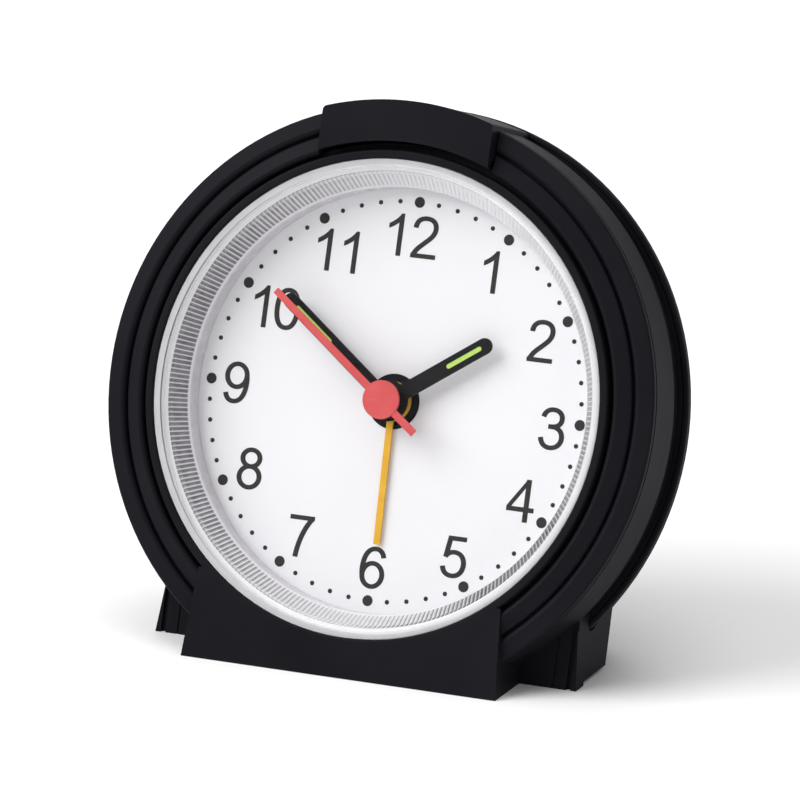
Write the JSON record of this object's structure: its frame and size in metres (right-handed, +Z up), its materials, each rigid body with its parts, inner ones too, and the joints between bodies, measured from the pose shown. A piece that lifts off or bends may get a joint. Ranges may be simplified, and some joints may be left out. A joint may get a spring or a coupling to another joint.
{
  "type": "alarm clock",
  "caption": "Round bedside analogue alarm clock leaning back on a broad foot, with a snooze bar on top, domed lens, knobs on the back and a full quartz movement inside.",
  "frame": {"origin": "centre of the bounding box at the table, under the foot", "axes": "+Z up, -Y out of the dial towards the viewer, +X to the right of someone reading the dial"},
  "size_m": [0.0922, 0.0542, 0.0858],
  "materials": {
    "case_black": "satin moulded, slightly glossy",
    "ribbed_grey": "satin, finely ribbed",
    "lens_clear": "polished clear plastic",
    "dial_white": "matt printed",
    "control_black": "fine matt texture",
    "hand_black": "satin",
    "hand_red": "satin",
    "hand_yellow": "satin",
    "lume": "matt luminous paint",
    "gear_white": "moulded acetal",
    "brass": "machined",
    "plate_grey": "moulded",
    "steel": "zinc plated",
    "core_steel": "stamped",
    "magnet": "sintered ferrite",
    "copper_wire": "enamelled",
    "board_green": "solder mask",
    "chip_black": "matt epoxy",
    "buzzer_black": "matt",
    "lamp_clear": "cast epoxy",
    "cell_wrap": "satin wrap"
  },
  "bodies": {
    "case": {"front_case": "case_black", "light_ring": "ribbed_grey", "lens": "lens_clear", "dial": "dial_white", "centre_collar": "control_black", "rear_case": "case_black", "snooze_switch": "control_black", "slide_switch": "steel", "case_screws": "steel", "movement_screws": "steel", "front_plate": "plate_grey", "middle_plate": "gear_white", "rear_plate": "gear_white", "stator": "core_steel", "coil_core": "core_steel", "coil_bobbin": "gear_white", "coil_winding": "copper_wire", "circuit_board": "board_green", "control_chip": "chip_black", "quartz_crystal": "steel", "buzzer": "buzzer_black", "lamp": "lamp_clear", "alarm_contact": "brass", "battery_cell": "cell_wrap", "battery_contact_plus": "steel", "battery_contact_minus": "steel"},
    "seconds": {"second_hand": "hand_red", "seconds_wheel": "gear_white"},
    "minutes": {"minute_hand": "hand_black", "minute_lume": "lume", "cannon_pinion": "brass"},
    "hours": {"hour_hand": "hand_black", "hour_lume": "lume", "hour_wheel": "gear_white"},
    "alarm_time": {"alarm_hand": "hand_yellow", "alarm_wheel": "brass"},
    "centre": {"centre_wheel": "brass"},
    "third": {"third_wheel": "gear_white"},
    "intermediate": {"intermediate_wheel": "gear_white"},
    "rotor": {"rotor": "gear_white", "rotor_magnet": "magnet"},
    "minute_work": {"minute_wheel": "gear_white"},
    "time_set": {"time_knob": "control_black", "time_stem": "gear_white"},
    "alarm_set": {"alarm_knob": "control_black", "alarm_stem": "gear_white"},
    "snooze": {"snooze_button": "case_black"},
    "alarm_switch": {"alarm_slider": "control_black"},
    "door": {"battery_door": "case_black"}
  },
  "joints": [
    {"name": "seconds_spin", "type": "hinge", "parent": "case", "child": "seconds", "pos_m": [0, -0.00677, 0.03906], "axis": [0, 0.9588, -0.284], "continuous": true},
    {"name": "minutes_spin", "type": "hinge", "parent": "case", "child": "minutes", "pos_m": [0, -0.00677, 0.03906], "axis": [0, 0.9588, -0.284], "continuous": true},
    {"name": "hours_spin", "type": "hinge", "parent": "case", "child": "hours", "pos_m": [0, -0.00677, 0.03906], "axis": [0, 0.9588, -0.284], "continuous": true},
    {"name": "alarm_time_spin", "type": "hinge", "parent": "case", "child": "alarm_time", "pos_m": [0, -0.00677, 0.03906], "axis": [0, 0.9588, -0.284], "continuous": true},
    {"name": "centre_spin", "type": "hinge", "parent": "case", "child": "centre", "pos_m": [0, 0.00042, 0.03693], "axis": [0, 0.9588, -0.284], "continuous": true},
    {"name": "third_spin", "type": "hinge", "parent": "case", "child": "third", "pos_m": [0, 0.00493, 0.04686], "axis": [0, 0.9588, -0.284], "continuous": true},
    {"name": "intermediate_spin", "type": "hinge", "parent": "case", "child": "intermediate", "pos_m": [-0.0059, 0.00356, 0.03169], "axis": [0, 0.9588, -0.284], "continuous": true},
    {"name": "rotor_spin", "type": "hinge", "parent": "case", "child": "rotor", "pos_m": [-0.01274, 0.00477, 0.02874], "axis": [0, 0.9588, -0.284], "continuous": true},
    {"name": "minute_work_spin", "type": "hinge", "parent": "case", "child": "minute_work", "pos_m": [-0.00997, 0.0003, 0.04181], "axis": [0, 0.9588, -0.284], "continuous": true},
    {"name": "time_set_spin", "type": "hinge", "parent": "case", "child": "time_set", "pos_m": [-0.01994, 0.01888, 0.04116], "axis": [0, 0.9588, -0.284], "continuous": true},
    {"name": "alarm_set_spin", "type": "hinge", "parent": "case", "child": "alarm_set", "pos_m": [0.0117, 0.01624, 0.03224], "axis": [0, 0.9588, -0.284], "continuous": true},
    {"name": "snooze_press", "type": "slide", "parent": "case", "child": "snooze", "axis": [0, -0.284, -0.9588], "range_m": [0, 0.001], "stiffness_N_per_m": 400, "springref_m": -0.002},
    {"name": "alarm_switch_slide", "type": "slide", "parent": "case", "child": "alarm_switch", "axis": [1, 0, 0], "range_m": [0, 0.004]},
    {"name": "door_lift_off", "type": "slide", "parent": "case", "child": "door", "axis": [0, 0.9588, -0.284], "range_m": [0, 0.025]}
  ],
  "couplings": [
    {"joint": "rotor_spin", "follows": "seconds_spin", "ratio": 30},
    {"joint": "intermediate_spin", "follows": "seconds_spin", "ratio": -5},
    {"joint": "third_spin", "follows": "seconds_spin", "ratio": -0.13333},
    {"joint": "centre_spin", "follows": "seconds_spin", "ratio": 0.016667},
    {"joint": "minute_work_spin", "follows": "minutes_spin", "ratio": -0.33333},
    {"joint": "hours_spin", "follows": "minutes_spin", "ratio": 0.083333},
    {"joint": "time_set_spin", "follows": "minutes_spin", "ratio": 1},
    {"joint": "alarm_set_spin", "follows": "alarm_time_spin", "ratio": -3.3333}
  ]
}
